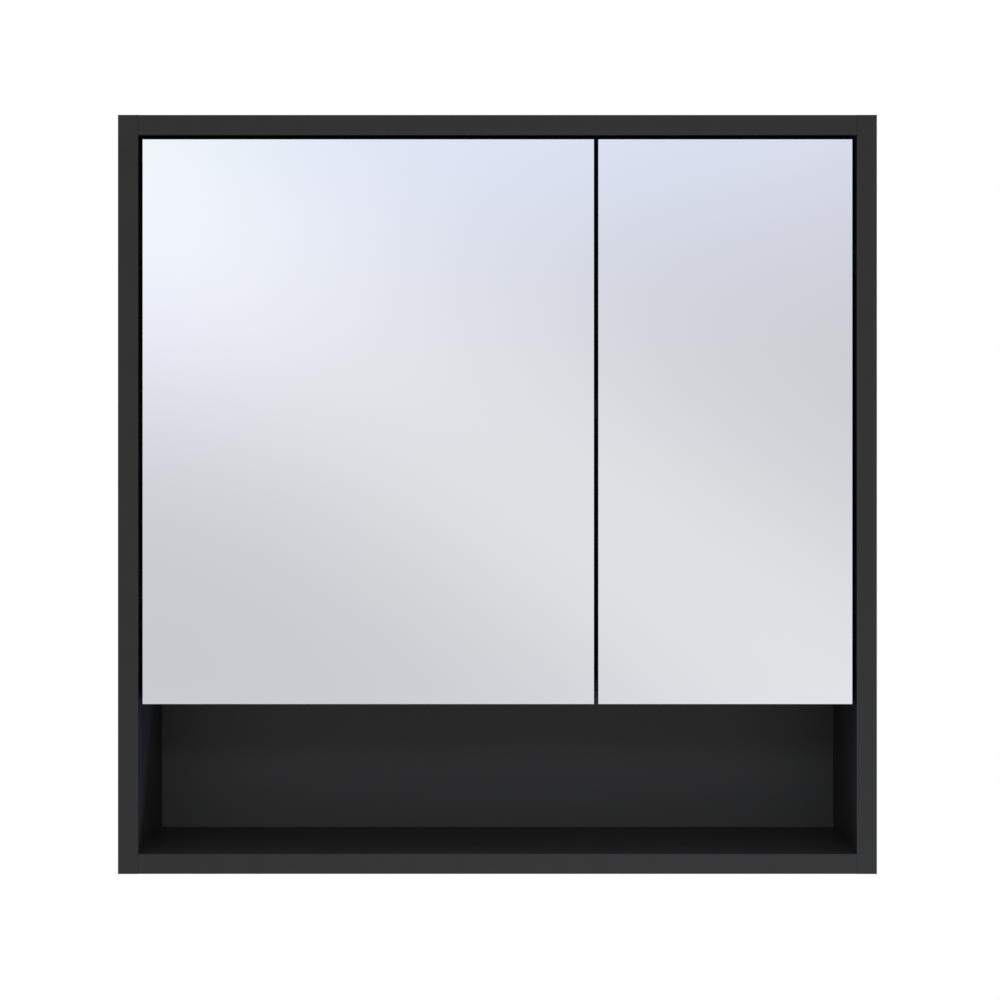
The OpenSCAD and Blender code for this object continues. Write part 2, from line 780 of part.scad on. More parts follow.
side_panel("left");  // left_side_panel
side_panel("right");  // right_side_panel
top_panel();
bottom_panel();
divider_panel();
shelf();
back_panel();
side_edging("left");  // left_side_edging
side_edging("right");  // right_side_edging
cross_edging(ceiling_z, front_y, inner_w / 2);  // top_edging
cross_edging(bottom_z, front_y, inner_w / 2);  // bottom_edging
cross_edging(divider_z, divider_front_y, inner_w / 2);  // divider_edging
shelf_edging();
dowels();
cam_discs();
cam_bolts();
cam_caps();
shelf_supports();
hanging_bracket("left");  // left_hanging_bracket
hanging_bracket("right");  // right_hanging_bracket
bracket_screws();
hinge_plate("left", "upper");  // left_upper_hinge_plate
hinge_plate("left", "lower");  // left_lower_hinge_plate
hinge_plate("right", "upper");  // right_upper_hinge_plate
hinge_plate("right", "lower");  // right_lower_hinge_plate
hinge_arm("left", "upper");  // left_upper_hinge_arm
hinge_arm("left", "lower");  // left_lower_hinge_arm
hinge_arm("right", "upper");  // right_upper_hinge_arm
hinge_arm("right", "lower");  // right_lower_hinge_arm
plate_screws();
arm_screws();
arm_pins();
outer_links("left");  // left_outer_links
inner_links("left");  // left_inner_links
outer_links("right");  // right_outer_links
inner_links("right");  // right_inner_links
door_board("left");  // left_door_board
door_edging("left");  // left_door_edging
door_mirror("left");  // left_mirror
mirror_tape("left");  // left_mirror_tape
hinge_cup("left", "upper");  // left_upper_hinge_cup
hinge_cup("left", "lower");  // left_lower_hinge_cup
cup_screws("left");  // left_cup_screws
cup_pins("left");  // left_cup_pins
strike_plate("left");  // left_strike_plate
door_board("right");  // right_door_board
door_edging("right");  // right_door_edging
door_mirror("right");  // right_mirror
mirror_tape("right");  // right_mirror_tape
hinge_cup("right", "upper");  // right_upper_hinge_cup
hinge_cup("right", "lower");  // right_lower_hinge_cup
cup_screws("right");  // right_cup_screws
cup_pins("right");  // right_cup_pins
strike_plate("right");  // right_strike_plate
latch_housing("left");  // left_latch_housing
latch_housing("right");  // right_latch_housing
latch_screws();
latch_plunger("left");  // left_latch_plunger
latch_plunger("right");  // right_latch_plunger
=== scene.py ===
# Black wall cabinet with two mirror doors over an open niche: pieces, finishes, light and camera.
import json
import math

import bmesh
import bpy
import numpy as np
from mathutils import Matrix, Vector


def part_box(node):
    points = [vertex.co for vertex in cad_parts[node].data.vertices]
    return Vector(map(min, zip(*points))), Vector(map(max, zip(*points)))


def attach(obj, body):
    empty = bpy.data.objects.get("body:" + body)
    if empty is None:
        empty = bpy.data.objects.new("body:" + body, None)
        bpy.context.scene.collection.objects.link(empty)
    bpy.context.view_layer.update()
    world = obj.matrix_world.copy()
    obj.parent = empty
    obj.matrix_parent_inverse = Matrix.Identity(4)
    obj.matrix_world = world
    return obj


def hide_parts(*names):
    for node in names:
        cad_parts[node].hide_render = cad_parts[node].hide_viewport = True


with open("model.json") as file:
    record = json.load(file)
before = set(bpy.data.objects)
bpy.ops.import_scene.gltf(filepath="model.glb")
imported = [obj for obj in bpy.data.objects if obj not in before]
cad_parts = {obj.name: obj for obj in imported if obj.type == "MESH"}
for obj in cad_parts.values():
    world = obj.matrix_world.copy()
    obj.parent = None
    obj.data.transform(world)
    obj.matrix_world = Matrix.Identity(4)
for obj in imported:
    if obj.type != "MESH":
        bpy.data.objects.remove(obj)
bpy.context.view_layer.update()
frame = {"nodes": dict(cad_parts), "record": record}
nodes = frame["nodes"]
bodyOf = {
    node: body for body, members in frame["record"]["behaviour"]["bodies"].items() for node in members
}
mm = 0.001
print("frame loaded with", len(nodes), "nodes")


class Wire:
    # One output socket, so that shader maths reads as plain arithmetic
    def __init__(self, finish, socket):
        self.finish = finish
        self.socket = socket

    def math(self, operation, *others):
        return self.finish.math(operation, self, *others)

    def __add__(self, other):
        return self.math("ADD", other)

    __radd__ = __add__

    def __sub__(self, other):
        return self.math("SUBTRACT", other)

    def __rsub__(self, other):
        return self.finish.math("SUBTRACT", other, self)

    def __mul__(self, other):
        return self.math("MULTIPLY", other)

    __rmul__ = __mul__

    def __neg__(self):
        return self.math("MULTIPLY", -1.0)

    def __gt__(self, other):
        return self.math("GREATER_THAN", other)

    def __lt__(self, other):
        return self.math("LESS_THAN", other)


class Finish:
    # A material, or the world, built from nodes
    def __init__(self, name=None, world=None):
        self.owner = world or bpy.data.materials.new(name)
        self.owner.use_nodes = True
        self.tree = self.owner.node_tree
        self.tree.nodes.clear()
        self.place = None

    # Adds a node: its type, its settings first, then the values or wires of its sockets
    def node(self, kind, settings=None, inputs=None, output=0):
        made = self.tree.nodes.new(kind)
        for name, value in (settings or {}).items():
            setattr(made, name, value)
        for key, value in (inputs or {}).items():
            if isinstance(value, Wire):
                self.tree.links.new(value.socket, made.inputs[key])
            else:
                made.inputs[key].default_value = value
        return Wire(self, made.outputs[output]) if made.outputs else made

    def math(self, operation, *values):
        return self.node("ShaderNodeMath", {"operation": operation}, dict(enumerate(values)))

    def between(self, value, low, high):
        return (value > low) * (value < high)

    # Sockets 6 and 7 of a mix node are its two colours, and output 2 the colour that it gives
    def mix(self, factor, one, two):
        settings = {"data_type": "RGBA", "clamp_factor": True}
        return self.node("ShaderNodeMix", settings, {0: factor, 6: one, 7: two}, 2)

    def coordinates(self):
        if self.place is None:
            self.place = self.node("ShaderNodeTexCoord", output=3)
        return self.place

    def axis(self, index):
        return self.node("ShaderNodeSeparateXYZ", None, {0: self.coordinates()}, index)

    # Object coordinates scaled along each axis, so that a pattern runs long where the scale is low
    def stretched(self, scale):
        return self.node("ShaderNodeMapping", None, {"Vector": self.coordinates(), "Scale": scale})

    def noise(self, scale, detail, roughness, vector=None):
        inputs = {
            "Vector": vector or self.coordinates(),
            "Scale": scale,
            "Detail": detail,
            "Roughness": roughness,
        }
        return self.node("ShaderNodeTexNoise", {"normalize": True}, inputs)

    def cells(self, scale, feature="F1", output=0, vector=None):
        inputs = {"Vector": vector or self.coordinates(), "Scale": scale}
        return self.node("ShaderNodeTexVoronoi", {"feature": feature}, inputs, output)

    def bump(self, height, distance, strength=0.5):
        inputs = {"Height": height, "Distance": distance, "Strength": strength}
        return self.node("ShaderNodeBump", None, inputs)

    # The first channel of a colour, as a number
    def channel(self, colour):
        return self.node("ShaderNodeSeparateColor", None, {0: colour}, 0)

    # The surface itself; sockets holds fixed values for any other socket of the shader
    def surface(self, colour, roughness, metallic=0.0, normal=None, **sockets):
        inputs = {"Base Color": colour, "Roughness": roughness, "Metallic": metallic}
        if normal:
            inputs["Normal"] = normal
        inputs.update({name.replace("_", " "): value for name, value in sockets.items()})
        shader = self.node("ShaderNodeBsdfPrincipled", None, inputs)
        self.node("ShaderNodeOutputMaterial", None, {"Surface": shader})
        return self.owner


# In every look, a name that ends with Noise holds a noise's scale, detail and roughness
boardLook = {
    "black": (0.0115, 0.0115, 0.0125, 1.0),
    "greyer": (0.0135, 0.0135, 0.0145, 1.0),
    "toneNoise": (9.0, 4.0, 0.55),
    "pebbleNoise": (1500.0, 2.0, 0.6),
    "pebbleDepth": 0.03 * mm,
    "roughness": 0.40,
    "smudgeNoise": (38.0, 5.0, 0.6),
    "smudgeRoughness": 0.10,
    "pebbleRoughness": 0.06,
    "gloss": 0.30,
    "paper": 0.25 * mm,
    "chipPale": (0.46, 0.32, 0.18, 1.0),
    "chipDark": (0.20, 0.12, 0.06, 1.0),
    "chipScale": 420.0,
    "chipFlatness": (1.0, 1.0, 2.4),
    "chipDepth": 6.0,
    "chipRoughness": 0.9,
}


# Chipboard under a black melamine paper; the core shows where a point lies deeper than the paper
# on all of the given axes, as on a sawn edge or in a bored hole
def boardFinish(name, spans, look=boardLook):
    f = Finish(name)
    core = 1.0
    for index, (low, high) in spans.items():
        core = f.between(f.axis(index), low + look["paper"], high - look["paper"]) * core
    pebble = f.noise(*look["pebbleNoise"])
    tone = f.noise(*look["toneNoise"])
    smudge = f.noise(*look["smudgeNoise"])
    face = f.mix(tone, look["black"], look["greyer"])
    flat = f.stretched(look["chipFlatness"])
    chip = f.channel(f.cells(look["chipScale"], output=1, vector=flat))
    chipEdge = f.cells(look["chipScale"], "DISTANCE_TO_EDGE", vector=flat)
    colour = f.mix(core, face, f.mix(chip, look["chipDark"], look["chipPale"]))
    faceRoughness = (
        look["roughness"] + look["smudgeRoughness"] * smudge + look["pebbleRoughness"] * pebble
    )
    roughness = faceRoughness * (1.0 - core) + look["chipRoughness"] * core
    normal = f.bump(pebble * (1.0 - core) + chipEdge * core * look["chipDepth"], look["pebbleDepth"])
    return f.surface(colour, roughness, 0.0, normal, Specular_IOR_Level=look["gloss"])


backLook = {
    "lacquer": (0.0240, 0.0238, 0.0236, 1.0),
    "lacquerWorn": (0.0275, 0.0272, 0.0270, 1.0),
    "lacquerRoughness": 0.44,
    "wornNoise": (7.0, 4.0, 0.5),
    "wornRoughness": 0.10,
    "fibre": (0.23, 0.145, 0.075, 1.0),
    "fibreDark": (0.13, 0.078, 0.038, 1.0),
    "fibreNoise": (900.0, 6.0, 0.7),
    "fibreLength": (1.0, 1.0, 0.25),
    "fibreRoughness": 0.75,
    "fibreRoughnessChange": 0.15,
    "fibreDepth": 2.0,
    "grainNoise": (1300.0, 2.0, 0.6),
    "grainDepth": 0.04 * mm,
    "gloss": 0.32,
}


# Thin fibreboard, lacquered black in front and raw brown behind
def backFinish(name, splitY, look=backLook):
    f = Finish(name)
    raw = f.axis(1) > splitY
    grain = f.noise(*look["grainNoise"])
    worn = f.noise(*look["wornNoise"])
    fibres = f.noise(*look["fibreNoise"], f.stretched(look["fibreLength"]))
    front = f.mix(worn, look["lacquer"], look["lacquerWorn"])
    colour = f.mix(raw, front, f.mix(fibres, look["fibreDark"], look["fibre"]))
    roughness = (look["lacquerRoughness"] + look["wornRoughness"] * worn) * (1.0 - raw) + (
        look["fibreRoughness"] + look["fibreRoughnessChange"] * fibres
    ) * raw
    normal = f.bump(grain * (1.0 - raw) + fibres * raw * look["fibreDepth"], look["grainDepth"])
    return f.surface(colour, roughness, 0.0, normal, Specular_IOR_Level=look["gloss"])


edgingLook = {
    "front": (0.0095, 0.0092, 0.0080, 1.0),
    "frontRubbed": (0.0120, 0.0117, 0.0102, 1.0),
    "rubNoise": (45.0, 5.0, 0.65),
    "rubRoughness": 0.12,
    "grainNoise": (700.0, 3.0, 0.6),
    "grainRoughness": 0.05,
    "grainDepth": 0.03 * mm,
    "roughness": 0.34,
    "gloss": 0.25,
}


# Black edge strip: extruded plastic with a faint grain along its length
def edgingFinish(name, run, look=edgingLook):
    f = Finish(name)
    grain = f.noise(*look["grainNoise"], f.stretched(run))
    rub = f.noise(*look["rubNoise"])
    colour = f.mix(rub, look["front"], look["frontRubbed"])
    roughness = look["roughness"] + look["rubRoughness"] * rub + look["grainRoughness"] * grain
    normal = f.bump(grain, look["grainDepth"])
    return f.surface(colour, roughness, 0.0, normal, Specular_IOR_Level=look["gloss"])


metalLook = {
    "patchNoise": (120.0, 4.0, 0.6),
    "patchRoughness": 0.10,
    "streakNoise": (900.0, 3.0, 0.6),
    "streakRoughness": 0.08,
    "streakDepth": 0.6,
    "pitNoise": (2600.0, 2.0, 0.5),
    "pitDepth": 0.4,
    "depth": 0.012 * mm,
    "flakeContrast": 0.45,
    "flakeRoughness": 0.08,
}


# Plated or cast metal: streaks along the axis whose run is short, fine pits, duller patches, and
# the crystal flakes of a zinc coat where flakes gives their scale
def metalFinish(name, tone, dull, roughness, run=(1.0, 1.0, 1.0), flakes=0.0, look=metalLook, **own):
    look = {**look, **own}
    f = Finish(name)
    patches = f.noise(*look["patchNoise"])
    streaks = f.noise(*look["streakNoise"], f.stretched(run))
    pits = f.noise(*look["pitNoise"])
    colour = f.mix(patches, tone, dull)
    rough = roughness + look["patchRoughness"] * patches + look["streakRoughness"] * streaks
    if flakes:
        flake = f.channel(f.cells(flakes, output=1))
        colour = f.mix(flake * look["flakeContrast"], colour, dull)
        rough = rough + look["flakeRoughness"] * flake
    normal = f.bump(streaks * look["streakDepth"] + pits * look["pitDepth"], look["depth"])
    return f.surface(colour, rough, 1.0, normal)


plasticLook = {
    "grainNoise": (2200.0, 3.0, 0.6),
    "grainDepth": 0.03 * mm,
    "grainRoughness": 0.05,
    "toneNoise": (60.0, 4.0, 0.5),
    "toneRoughness": 0.10,
    "gloss": 0.4,
}


# Moulded plastic with a fine spark-eroded grain
def plasticFinish(name, tone, paler, roughness, look=plasticLook):
    f = Finish(name)
    grain = f.noise(*look["grainNoise"])
    broad = f.noise(*look["toneNoise"])
    rough = roughness + look["toneRoughness"] * broad + look["grainRoughness"] * grain
    normal = f.bump(grain, look["grainDepth"])
    return f.surface(f.mix(broad, tone, paler), rough, 0.0, normal, Specular_IOR_Level=look["gloss"])


woodLook = {
    "dark": (0.50, 0.32, 0.17, 1.0),
    "pale": (0.66, 0.47, 0.28, 1.0),
    "fleck": (0.30, 0.17, 0.08, 1.0),
    "fleckStrength": 0.6,
    "fleckLimit": 0.66,
    "fleckNoise": (1500.0, 2.0, 0.5),
    "fleckRun": (0.15, 1.0, 1.0),
    "fibreNoise": (800.0, 5.0, 0.65),
    "fibreRun": (0.08, 1.0, 1.0),
    "fibreDepth": 0.05 * mm,
    "bumpStrength": 0.6,
    "roughness": 0.55,
    "fibreRoughness": 0.2,
}


# Planed beech: long fibres with short dark flecks
def woodFinish(name, look=woodLook):
    f = Finish(name)
    fibre = f.noise(*look["fibreNoise"], f.stretched(look["fibreRun"]))
    flecks = f.noise(*look["fleckNoise"], f.stretched(look["fleckRun"])) > look["fleckLimit"]
    colour = f.mix(fibre, look["dark"], look["pale"])
    colour = f.mix(flecks * look["fleckStrength"], colour, look["fleck"])
    roughness = look["roughness"] + look["fibreRoughness"] * fibre
    return f.surface(colour, roughness, 0.0, f.bump(fibre, look["fibreDepth"], look["bumpStrength"]))


silverLook = {
    "silver": (0.930, 0.945, 0.955, 1.0),
    "paler": (0.945, 0.955, 0.962, 1.0),
    "hazeNoise": (6.0, 3.0, 0.5),
    "roughness": 0.004,
    "hazeRoughness": 0.004,
    "speckNoise": (900.0, 2.0, 0.5),
    "speckLimit": 0.86,
    "speckRoughness": 0.02,
}


# Silvered glass seen from the front: a nearly perfect mirror with a trace of unevenness
def silverFinish(name, look=silverLook):
    f = Finish(name)
    haze = f.noise(*look["hazeNoise"])
    specks = f.noise(*look["speckNoise"]) > look["speckLimit"]
    roughness = look["roughness"] + look["hazeRoughness"] * haze + look["speckRoughness"] * specks
    return f.surface(f.mix(haze, look["silver"], look["paler"]), roughness, 1.0)


glassEdgeLook = {
    "deep": (0.055, 0.110, 0.100, 1.0),
    "frosted": (0.16, 0.24, 0.22, 1.0),
    "grindNoise": (1400.0, 3.0, 0.6),
    "grindRun": (1.0, 6.0, 1.0),
    "grindDepth": 0.03 * mm,
    "roughness": 0.22,
    "grindRoughness": 0.2,
    "gloss": 0.6,
}


# Ground glass edge: green glass under fine grinding marks
def glassEdgeFinish(name, look=glassEdgeLook):
    f = Finish(name)
    grind = f.noise(*look["grindNoise"], f.stretched(look["grindRun"]))
    colour = f.mix(grind, look["deep"], look["frosted"])
    roughness = look["roughness"] + look["grindRoughness"] * grind
    normal = f.bump(grind, look["grindDepth"])
    return f.surface(colour, roughness, 0.0, normal, Specular_IOR_Level=look["gloss"])


backingLook = {
    "grey": (0.10, 0.115, 0.12, 1.0),
    "paler": (0.13, 0.145, 0.15, 1.0),
    "toneNoise": (15.0, 4.0, 0.5),
    "peelNoise": (420.0, 3.0, 0.5),
    "peelDepth": 0.06 * mm,
    "roughness": 0.45,
    "peelRoughness": 0.1,
}


# Grey protective paint on the mirror's back
def backingFinish(name, look=backingLook):
    f = Finish(name)
    peel = f.noise(*look["peelNoise"])
    colour = f.mix(f.noise(*look["toneNoise"]), look["grey"], look["paler"])
    roughness = look["roughness"] + look["peelRoughness"] * peel
    return f.surface(colour, roughness, 0.0, f.bump(peel, look["peelDepth"]))


foamLook = {
    "dark": (0.055, 0.055, 0.056, 1.0),
    "paler": (0.085, 0.085, 0.086, 1.0),
    "toneNoise": (90.0, 4.0, 0.5),
    "cellScale": 1600.0,
    "cellDepth": 0.1 * mm,
    "bumpStrength": 0.7,
    "roughness": 0.8,
    "toneRoughness": 0.1,
}


# Closed-cell foam tape
def foamFinish(name, look=foamLook):
    f = Finish(name)
    tone = f.noise(*look["toneNoise"])
    colour = f.mix(tone, look["dark"], look["paler"])
    roughness = look["roughness"] + look["toneRoughness"] * tone
    normal = f.bump(f.cells(look["cellScale"]), look["cellDepth"], look["bumpStrength"])
    return f.surface(colour, roughness, 0.0, normal)


# A node's span along each of the given axes
def spansOf(node, axes):
    low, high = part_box(node)
    return {index: (low[index], high[index]) for index in axes}


# each metal's clean tone and its duller one
nickel = ((0.66, 0.65, 0.63, 1.0), (0.50, 0.49, 0.475, 1.0))
zinc = ((0.60, 0.615, 0.64, 1.0), (0.42, 0.435, 0.46, 1.0))
castZinc = ((0.50, 0.50, 0.51, 1.0), (0.36, 0.36, 0.37, 1.0))
# each plastic's darker tone and its paler one
capBlack = ((0.010, 0.010, 0.0105, 1.0), (0.016, 0.016, 0.017, 1.0))
latchGrey = ((0.022, 0.022, 0.023, 1.0), (0.032, 0.032, 0.033, 1.0))
plungerGrey = ((0.11, 0.11, 0.115, 1.0), (0.15, 0.15, 0.155, 1.0))
backSkin = 1 * mm  # how much of the back panel's thickness is raw behind the lacquer
finishes = {
    "edgingUpright": edgingFinish("edging_upright", (1.0, 1.0, 0.03)),
    "edgingLevel": edgingFinish("edging_level", (0.03, 1.0, 1.0)),
    "doorEdging": edgingFinish("door_edging_strip", (1.0, 1.0, 1.0)),
    "back": backFinish("lacquered_fibreboard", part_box("back_panel")[1].y - backSkin),
    "wood": woodFinish("dowel_beech"),
    "camZinc": metalFinish("die_cast_zinc", *castZinc, 0.42, flakes=500.0),
    "hinge": metalFinish("nickel_plate", *nickel, 0.20, (0.05, 1.0, 1.0)),
    "peg": metalFinish("nickel_pegs", *nickel, 0.24),
    "pin": metalFinish("bright_pins", *nickel, 0.16, (1.0, 1.0, 0.05)),
    "bracket": metalFinish("zinc_sheet", *zinc, 0.34, flakes=160.0),
    "screw": metalFinish("zinc_screws", *zinc, 0.24, streakNoise=(1400.0, 3.0, 0.6)),
    "strike": metalFinish("brushed_plate", *zinc, 0.28, (0.03, 1.0, 1.0)),
    "cap": plasticFinish("cap_plastic", *capBlack, 0.45),
    "latch": plasticFinish("latch_plastic", *latchGrey, 0.42),
    "plunger": plasticFinish("plunger_plastic", *plungerGrey, 0.36),
    "silver": silverFinish("mirror_silver"),
    "glassEdge": glassEdgeFinish("mirror_ground_edge"),
    "backing": backingFinish("mirror_backing_paint"),
    "foam": foamFinish("bond_tape_foam"),
}
print("finishes made:", len(finishes))


# A shape is its points, its faces, a smooth flag for each face and a finish number for each face
def gridFaces(rows, columns, closed=False):
    # Quads between neighbouring rows and columns of a grid; closed joins the last column to the first
    i, j = np.meshgrid(np.arange(rows - 1), np.arange(columns if closed else columns - 1), indexing="ij")
    here, beside = i * columns + j, i * columns + (j + 1) % columns
    return np.stack([here, beside, beside + columns, here + columns], -1).reshape(-1, 4)


sameSpot = 1e-7  # points closer than this are one


def welded(points, quads):
    # Points that coincide become one, and a quad that closes up becomes a triangle or is left out
    steps = np.round(points / sameSpot).astype(np.int64)
    _, first, index = np.unique(steps, axis=0, return_index=True, return_inverse=True)
    quads = index.reshape(-1)[quads]
    own = quads != np.roll(quads, 1, axis=1)
    corners = own.sum(axis=1)
    faces = quads.tolist()
    for k in np.flatnonzero(corners == 3):
        faces[k] = quads[k][own[k]].tolist()
    return points[first], [faces[k] for k in np.flatnonzero(corners > 2)]


def roundedBlock(low, high, radius, steps):
    # On each face of the block a grid of points p; the nearest point q of the block shrunk by the
    # radius gives the surface point q + radius * (p - q) / |p - q|, so flat faces stay flat and
    # edges turn round
    low, high = np.array(low, float), np.array(high, float)
    swing = radius * np.tan(np.linspace(math.pi / 4, 0.0, steps + 1))
    ticks = [
        np.concatenate([lo + radius - swing, hi - radius + swing[::-1]]) for lo, hi in zip(low, high)
    ]
    points, quads, smooth, sides = [], [], [], []
    start = 0
    for axis in range(3):
        a, b = (axis + 1) % 3, (axis + 2) % 3
        for side, level in ((0, low[axis]), (1, high[axis])):
            u, v = np.meshgrid(ticks[a], ticks[b], indexing="ij")
            p = np.empty(u.shape + (3,))
            p[..., a], p[..., b], p[..., axis] = u, v, level
            q = np.clip(p, low + radius, high - radius)
            away = p - q
            p = q + radius * away / np.linalg.norm(away, axis=-1, keepdims=True)
            faces = gridFaces(len(ticks[a]), len(ticks[b])) + start
            quads.append(faces if side == 0 else faces[:, ::-1])
            i, j = np.meshgrid(np.arange(len(ticks[a]) - 1), np.arange(len(ticks[b]) - 1), indexing="ij")
            smooth.append(((i != steps) | (j != steps)).ravel())
            sides.append(np.full(i.size, 2 * axis + side))
            points.append(p.reshape(-1, 3))
            start += u.size
    points, faces = welded(np.concatenate(points), np.concatenate(quads))
    return points, faces, np.concatenate(smooth), np.concatenate(sides)


def aroundAxis(base, axis, r, h, t):
    # Points at angle t, radius r and height h: base + h * axis + r * (cos t * side + sin t * other)
    axis = np.array(axis, float)
    side = np.roll(np.abs(axis), 1)
    other = np.cross(axis, side)
    return (np.array(base, float) + h[..., None] * axis
            + (r * np.cos(t))[..., None] * side + (r * np.sin(t))[..., None] * other)


def closedRound(grid):
    # A smooth shape of one finish from a grid of points whose last column joins the first
    points, faces = welded(grid.reshape(-1, 3), gridFaces(*grid.shape[:2], True))
    return points, faces, np.ones(len(faces), bool), np.zeros(len(faces), int)


def turned(profile, base, axis, segments, lift=None):
    # Surface of revolution: each (radius, height) of the profile goes round the axis; lift adds its own
    # height at each (r * cos t, r * sin t)
    profile = np.array(profile, float)
    t = np.linspace(0.0, 2 * math.pi, segments, endpoint=False)
    r, h = profile[:, :1], profile[:, 1:] + np.zeros((len(profile), segments))
    if lift is not None:
        h = h + lift(r * np.cos(t), r * np.sin(t))
    return closedRound(aroundAxis(base, axis, r, h, t))


def sweptStrip(corners, inward, across, size, radius, steps):
    # A rectangular profile (u across the strip, v into the depth) with its two front outer edges
    # rounded, carried along the corners as corner + u * inward + v * across, with flat ends
    width, thick = size
    bend = np.linspace(0.0, math.pi / 2, steps + 1)
    left = np.stack([radius - radius * np.sin(bend), radius - radius * np.cos(bend)], -1)[::-1]
    right = np.stack([width - radius + radius * np.sin(bend), radius - radius * np.cos(bend)], -1)
    profile = np.concatenate([[[0.0, thick]], left, right, [[width, thick]]])
    corners, inward = np.array(corners, float), np.array(inward, float)
    rings = (corners[:, None] + profile[None, :, :1] * inward[:, None]
             + profile[None, :, 1:] * np.array(across, float))
    rows, columns = rings.shape[:2]
    quads = gridFaces(rows, columns, True)
    flat = np.zeros(columns, bool)
    flat[[0, steps + 1, 2 * steps + 2, columns - 1]] = True
    smooth = ~np.tile(flat, rows - 1)
    ends = [list(range(columns))[::-1], list(range((rows - 1) * columns, rows * columns))]
    faces = quads.tolist() + ends
    smooth = np.concatenate([smooth, [False, False]])
    return rings.reshape(-1, 3), faces, smooth, np.zeros(len(faces), int)


def ringStrip(low, high, width, radius, steps):
    # The same kind of profile carried round a rectangle in x and z, mitred at its four corners:
    # corner + u * (inward x, inward z) + v * y, with the outer edges at the front and back rounded
    bend = np.linspace(0.0, math.pi / 2, steps + 1)
    depth = high[1] - low[1]
    front = np.stack([radius - radius * np.sin(bend), radius - radius * np.cos(bend)], -1)[::-1]
    back = np.stack([radius - radius * np.cos(bend), depth - radius + radius * np.sin(bend)], -1)[::-1]
    profile = np.concatenate(
        [[[width, 0.0]], front[::-1], [[0.0, depth - radius]], back[::-1][1:], [[width, depth]]]
    )
    signs = np.array([[1, 1], [-1, 1], [-1, -1], [1, -1]], float)
    corner = np.array([[low[0], low[2]], [high[0], low[2]], [high[0], high[2]], [low[0], high[2]]])
    points = np.empty((4, len(profile), 3))
    points[..., 0] = corner[:, None, 0] + profile[None, :, 0] * signs[:, None, 0]
    points[..., 2] = corner[:, None, 1] + profile[None, :, 0] * signs[:, None, 1]
    points[..., 1] = low[1] + profile[None, :, 1]
    count = len(profile)
    i, j = np.meshgrid(np.arange(4), np.arange(count), indexing="ij")
    here, beside = i * count + j, i * count + (j + 1) % count
    there, across = ((i + 1) % 4) * count + j, ((i + 1) % 4) * count + (j + 1) % count
    quads = np.stack([here, there, across, beside], -1).reshape(-1, 4)
    wide = np.linalg.norm(profile - np.roll(profile, -1, 0), axis=-1) > 2 * radius / steps
    return points.reshape(-1, 3), quads.tolist(), np.tile(~wide, 4), np.zeros(len(quads), int)


thread = {
    "pitch": 1.5 * mm,
    "core": 0.72,  # core radius as a share of the thread's
    "sharpness": 3.0,
    "tipTurns": 1.5,
    "tipShape": 0.6,
    "segments": 20,
    "rowsPerTurn": 6,
}


def threadedShank(length, outer, base, axis):
    # Screw thread as r(h, t) = core + (outer - core) * ridge(h / pitch - t / 2 pi); the ridge fades out
    # at both ends, and the last turns narrow to a point as (distance from the tip) ^ tip shape
    pitch, core, segments = thread["pitch"], thread["core"] * outer, thread["segments"]
    rows = int(length / pitch * thread["rowsPerTurn"]) + 1
    h = np.linspace(0.0, length, rows)[:, None]
    t = np.linspace(0.0, 2 * math.pi, segments, endpoint=False)[None, :]
    phase = (h / pitch - t / (2 * math.pi)) % 1.0
    ridge = np.clip(1.0 - np.abs(phase - 0.5) * thread["sharpness"], 0.0, 1.0)
    fade = np.clip(np.minimum(h, length - h) / pitch, 0.0, 1.0)
    tip = np.clip((length - h) / (thread["tipTurns"] * pitch), 0.0, 1.0) ** thread["tipShape"]
    r = (core + (outer - core) * ridge * fade) * tip
    start = np.broadcast_to(np.array(base, float), (1, segments, 3))
    return closedRound(np.concatenate([start, aroundAxis(base, axis, r, h, t)]))


# Joins shapes into one mesh object that stands for CAD nodes and rides on their body
def addPiece(name, shapes, looks, slot, *stood):
    points, faces, smooth, numbers = [], [], [], []
    start = 0
    for shape in shapes:
        points.append(shape[0])
        faces += [(np.array(face) + start).tolist() for face in shape[1]]
        smooth.append(shape[2])
        numbers.append(shape[3])
        start += len(shape[0])
    mesh = bpy.data.meshes.new(name)
    mesh.from_pydata(np.concatenate(points).tolist(), [], faces)
    mesh.polygons.foreach_set("use_smooth", np.concatenate(smooth).astype(bool))
    mesh.polygons.foreach_set("material_index", np.concatenate(numbers).astype(np.int32))
    for look in looks:
        mesh.materials.append(look)
    mesh.update()
    piece = bpy.data.objects.new(name, mesh)
    bpy.context.scene.collection.objects.link(piece)
    tidyNormals(mesh)
    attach(piece, bodyOf[stood[0]])
    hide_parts(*stood)


def tidyNormals(mesh):
    work = bmesh.new()
    work.from_mesh(mesh)
    bmesh.ops.recalc_face_normals(work, faces=work.faces)
    work.to_mesh(mesh)
    work.free()


softening = {
    "samePoint": 2e-6,
    "flatWithin": math.radians(0.6),
    "smoothBelow": math.radians(32),
    "bevelAbove": math.radians(40),
}


